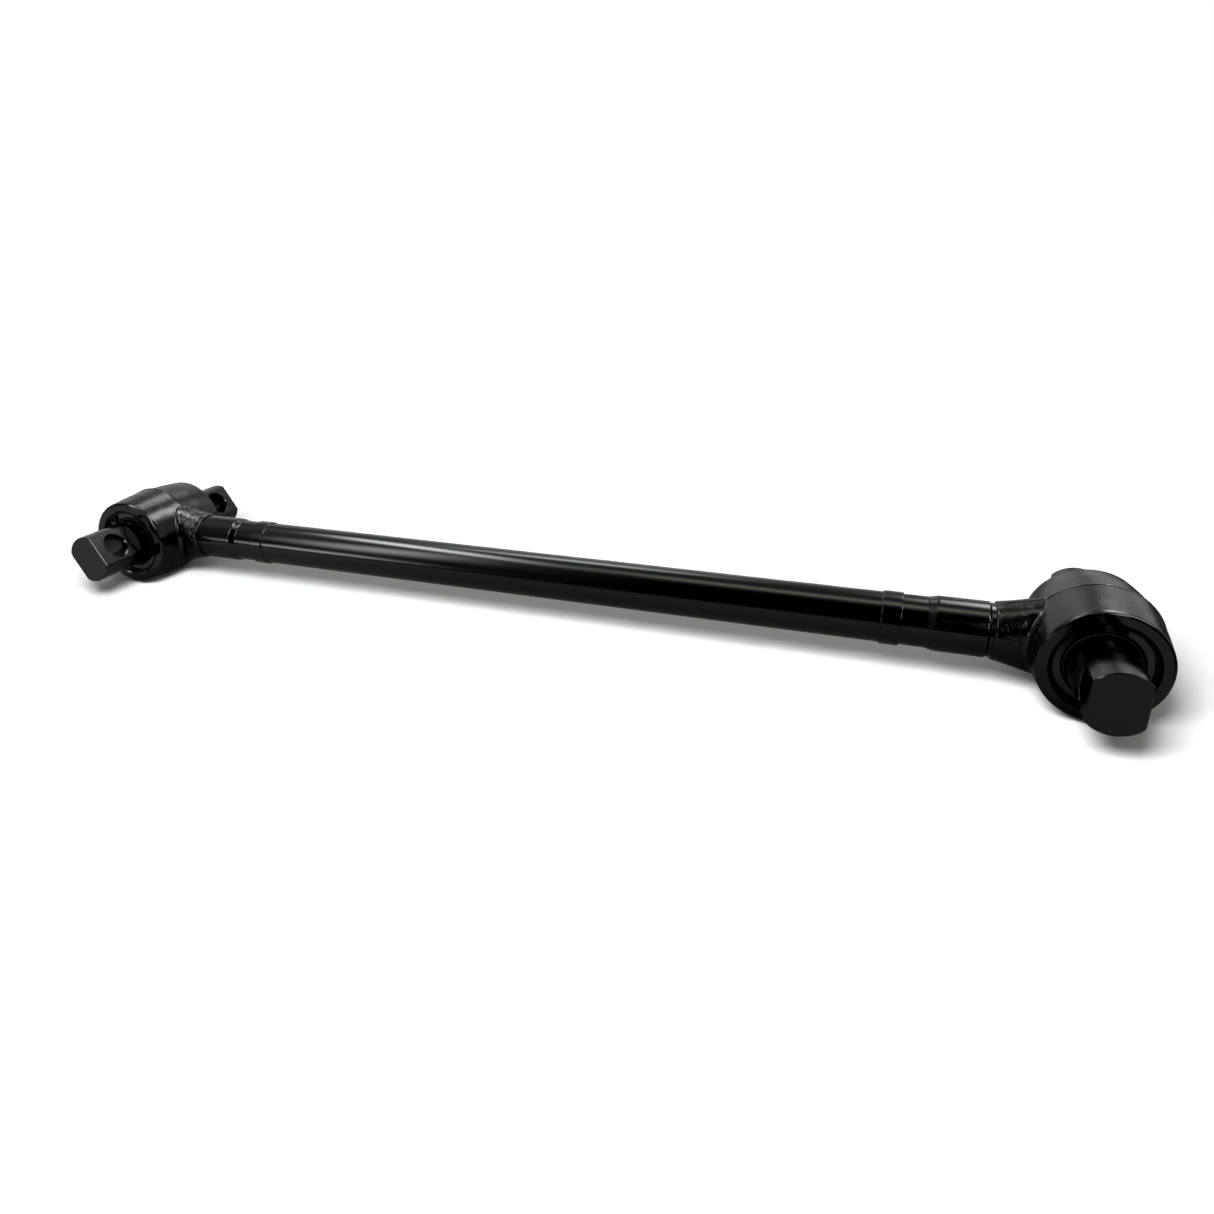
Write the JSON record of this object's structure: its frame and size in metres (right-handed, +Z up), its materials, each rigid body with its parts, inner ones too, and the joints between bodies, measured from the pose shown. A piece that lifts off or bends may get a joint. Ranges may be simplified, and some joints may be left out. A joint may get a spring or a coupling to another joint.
{
  "type": "torque rod",
  "caption": "Straight torque rod: a black tube between two forged eyes, each with a rubber bush round a flatted bar pin that is bolted across a truck's axle or frame bracket.",
  "frame": {"origin": "middle of the rod on its axis, halfway between the two eyes' centres", "axes": "+X along the rod towards the end whose bar pin stands level, +Y along both pins, +Z up and square to both"},
  "size_m": [0.8348, 0.1736, 0.0798],
  "materials": {
    "tube_paint": "gloss black paint",
    "forging_paint": "gloss black paint over a rough forged skin",
    "pin_black": "satin black paint",
    "rubber": "matt moulded rubber",
    "washer_steel": "satin black coated steel",
    "spring_steel": "dark phosphated spring steel"
  },
  "bodies": {
    "rod": {"centre_tube": "tube_paint", "left_forged_end": "forging_paint", "right_forged_end": "forging_paint", "left_front_washer": "washer_steel", "left_rear_washer": "washer_steel", "right_front_washer": "washer_steel", "right_rear_washer": "washer_steel", "left_front_snap_ring": "spring_steel", "left_rear_snap_ring": "spring_steel", "right_front_snap_ring": "spring_steel", "right_rear_snap_ring": "spring_steel"},
    "left_bush": {"left_rubber_bush": "rubber"},
    "left_pin": {"left_bar_pin": "pin_black"},
    "right_bush": {"right_rubber_bush": "rubber"},
    "right_pin": {"right_bar_pin": "pin_black"}
  },
  "joints": [
    {"name": "left_bush_tilt", "type": "hinge", "parent": "rod", "child": "left_bush", "pos_m": [-0.3775, 0, 0], "axis": [1, 0, 0], "range_deg": [-2.5, 2.5], "stiffness_Nm_per_rad": 2000, "deforming": ["left_rubber_bush"]},
    {"name": "left_pin_twist", "type": "hinge", "parent": "left_bush", "child": "left_pin", "pos_m": [-0.3775, 0, 0], "axis": [0, 1, 0], "range_deg": [-15, 15], "stiffness_Nm_per_rad": 650},
    {"name": "right_bush_tilt", "type": "hinge", "parent": "rod", "child": "right_bush", "pos_m": [0.3775, 0, 0], "axis": [1, 0, 0], "range_deg": [-2.5, 2.5], "stiffness_Nm_per_rad": 2000, "deforming": ["right_rubber_bush"]},
    {"name": "right_pin_twist", "type": "hinge", "parent": "right_bush", "child": "right_pin", "pos_m": [0.3775, 0, 0], "axis": [0, 1, 0], "range_deg": [-15, 15], "stiffness_Nm_per_rad": 650}
  ]
}
